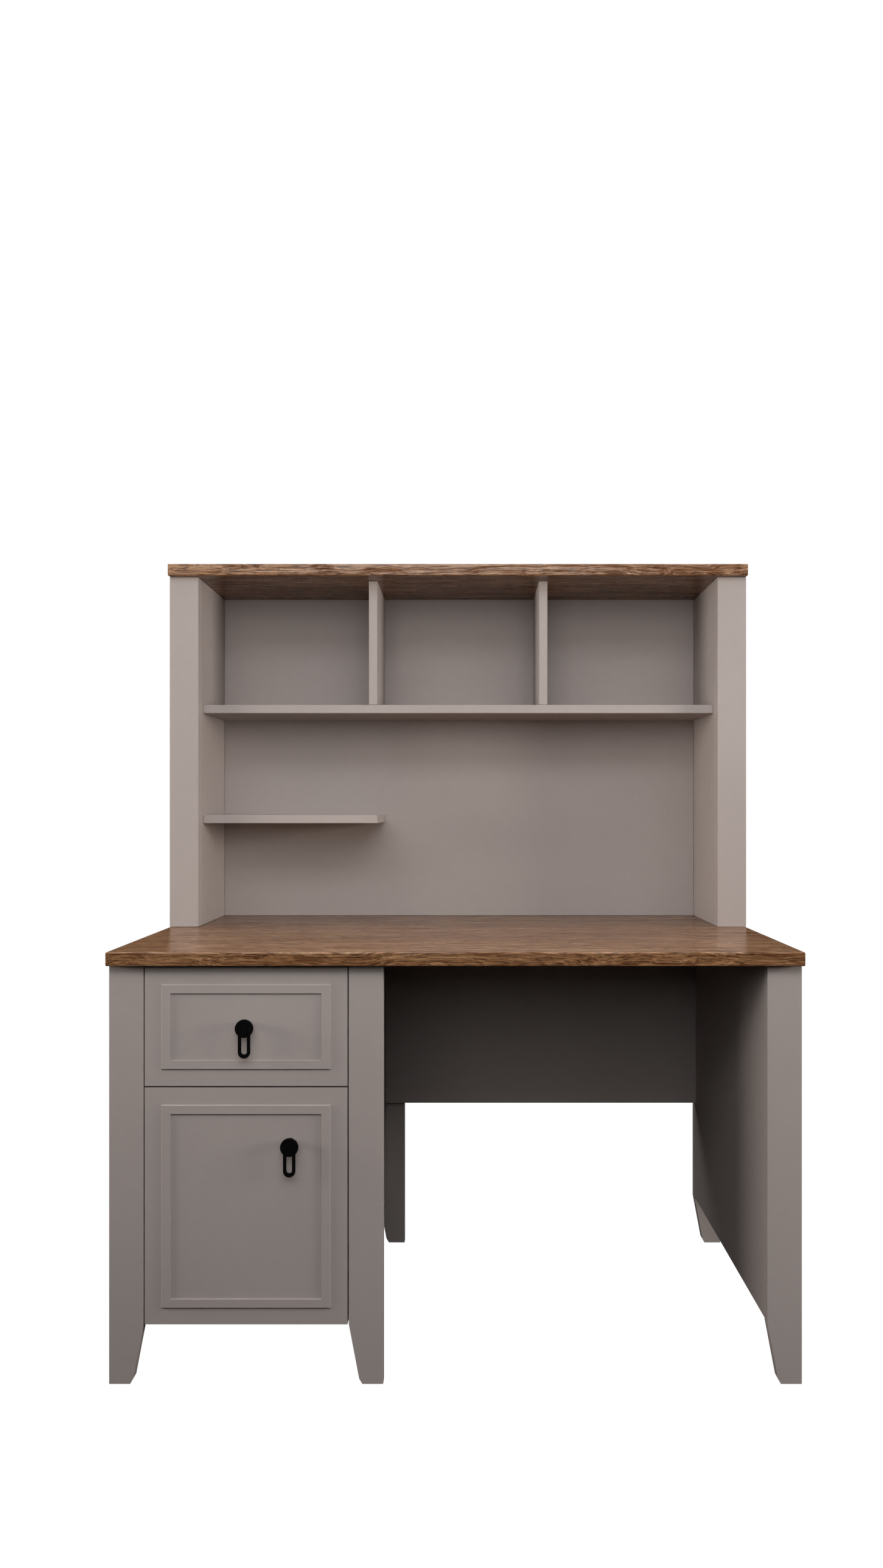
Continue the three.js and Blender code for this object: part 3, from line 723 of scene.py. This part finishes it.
def make_ball_cage(side, outside, inside, body):
    """Two rows of balls in their strips, between the flanges of two members."""
    outer_low, outer_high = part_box(f"runner_{side}_{outside}_member")
    inner_low, inner_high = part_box(f"runner_{side}_{inside}_member")
    middle = (outer_low.z + outer_high.z) / 2
    flange = (outer_high.z - outer_low.z) / 2 - CHANNEL_WALL
    rail = (inner_high.z - inner_low.z) / 2
    radius = BALL_FIT * (flange - rail) / 2
    x = (max(outer_low.x, inner_low.x) + min(outer_high.x, inner_high.x)) / 2
    start = outer_low.y + BALL_PITCH
    end = start + BALL_PITCH * (BALLS_IN_ROW - 1)
    mesh_data = bmesh.new()
    for above in (-1, 1):
        z = middle + above * (flange + rail) / 2
        strip = rounded_box((x - CAGE_HALF_WIDTH, z - CAGE_HALF_THICKNESS),
                            (x + CAGE_HALF_WIDTH, z + CAGE_HALF_THICKNESS), CAGE_CORNER, 2)
        add_prism(mesh_data, strip, start - BALL_PITCH / 2, end + BALL_PITCH / 2,
                  lambda a, b, h: Vector((a, h, b)))
        for ball in range(BALLS_IN_ROW):
            place = Matrix.Translation((x, start + ball * BALL_PITCH, z))
            bmesh.ops.create_uvsphere(mesh_data, u_segments=14, v_segments=9, radius=radius, matrix=place)
    make_piece(f"runner_{side}_{outside}_balls", mesh_data, "zinc_steel", body)


for node_name in NODES:
    finish_node(node_name)
for front in ("drawer", "door"):
    make_pull_screw(f"{front}_pull_screw", front)
for hinge in (1, 2):
    make_hinge_cup(f"hinge_cup_{hinge}")
    make_hinge_arm(f"hinge_arm_{hinge}")
    make_hinge_link(hinge)
for side in ("left", "right"):
    for row in (1, 2):
        make_shelf_pin(f"shelf_pin_{side}_{row}")
    make_channel(side, "cabinet", "carcass", CABINET_SCREW)
    make_channel(side, "middle", f"runner_{side}_middle")
    make_channel(side, "drawer", "drawer", DRAWER_SCREW)
    make_ball_cage(side, "cabinet", "middle", "carcass")
    make_ball_cage(side, "middle", "drawer", f"runner_{side}_middle")


# Stage

def make_floor():
    """A pale floor, nearly shadowless, that fades out far from the desk."""
    mesh_data = bmesh.new()
    bmesh.ops.create_circle(mesh_data, cap_ends=True, segments=96, radius=FLOOR_RADIUS)
    floor = make_object("floor", mesh_data)
    s = Shader("floor_paint")
    s.set(Base_Color=(0.05, 0.05, 0.05, 1), Roughness=1.0, Specular_IOR_Level=0.0)
    s.set(Emission_Color=(1, 1, 1, 1), Emission_Strength=1.0)
    x, y, _ = s.axes(s.place)
    s.set(Alpha=s.remap(s.distance(x, y), FLOOR_FADES_FROM, FLOOR_FADES_TO, 1.0, 0.0))
    floor.data.materials.append(s.material)
    floor.visible_diffuse = False
    floor.visible_glossy = False


def make_area_light(name, place, target, size, power, tint):
    """A light that the camera doesn't see. The strong wing lamps don't mirror in the desk top either."""
    data = bpy.data.lights.new(name, "AREA")
    data.shape = "RECTANGLE"
    data.size, data.size_y = size
    data.energy = power
    data.color = tint
    light = bpy.data.objects.new(name, data)
    bpy.context.scene.collection.objects.link(light)
    light.location = place
    light.visible_camera = False
    light.visible_glossy = "wing" not in name
    light.rotation_mode = "QUATERNION"
    light.rotation_quaternion = (Vector(target) - Vector(place)).to_track_quat("-Z", "Y")


def make_camera():
    data = bpy.data.cameras.new("camera")
    data.lens = CAMERA_LENS
    data.shift_x, data.shift_y = CAMERA_SHIFT
    camera = bpy.data.objects.new("camera", data)
    camera.location = CAMERA_PLACE
    camera.rotation_euler = (math.pi / 2, 0, 0)
    bpy.context.scene.collection.objects.link(camera)
    bpy.context.scene.camera = camera


def make_world():
    """White behind the desk for the camera, and a weak warm sky for the light."""
    world = bpy.data.worlds.new("studio")
    bpy.context.scene.world = world
    world.use_nodes = True
    tree = world.node_tree
    seen = tree.nodes.new("ShaderNodeLightPath").outputs["Is Camera Ray"]
    blend = tree.nodes.new("ShaderNodeMixRGB")
    blend.inputs["Color1"].default_value = SKY
    blend.inputs["Color2"].default_value = (1, 1, 1, 1)
    tree.links.new(seen, blend.inputs["Fac"])
    tree.links.new(blend.outputs["Color"], tree.nodes["Background"].inputs["Color"])


bpy.context.scene.view_settings.view_transform = "Standard"
make_floor()
make_world()
for light in LIGHTS:
    make_area_light(*light)
make_camera()
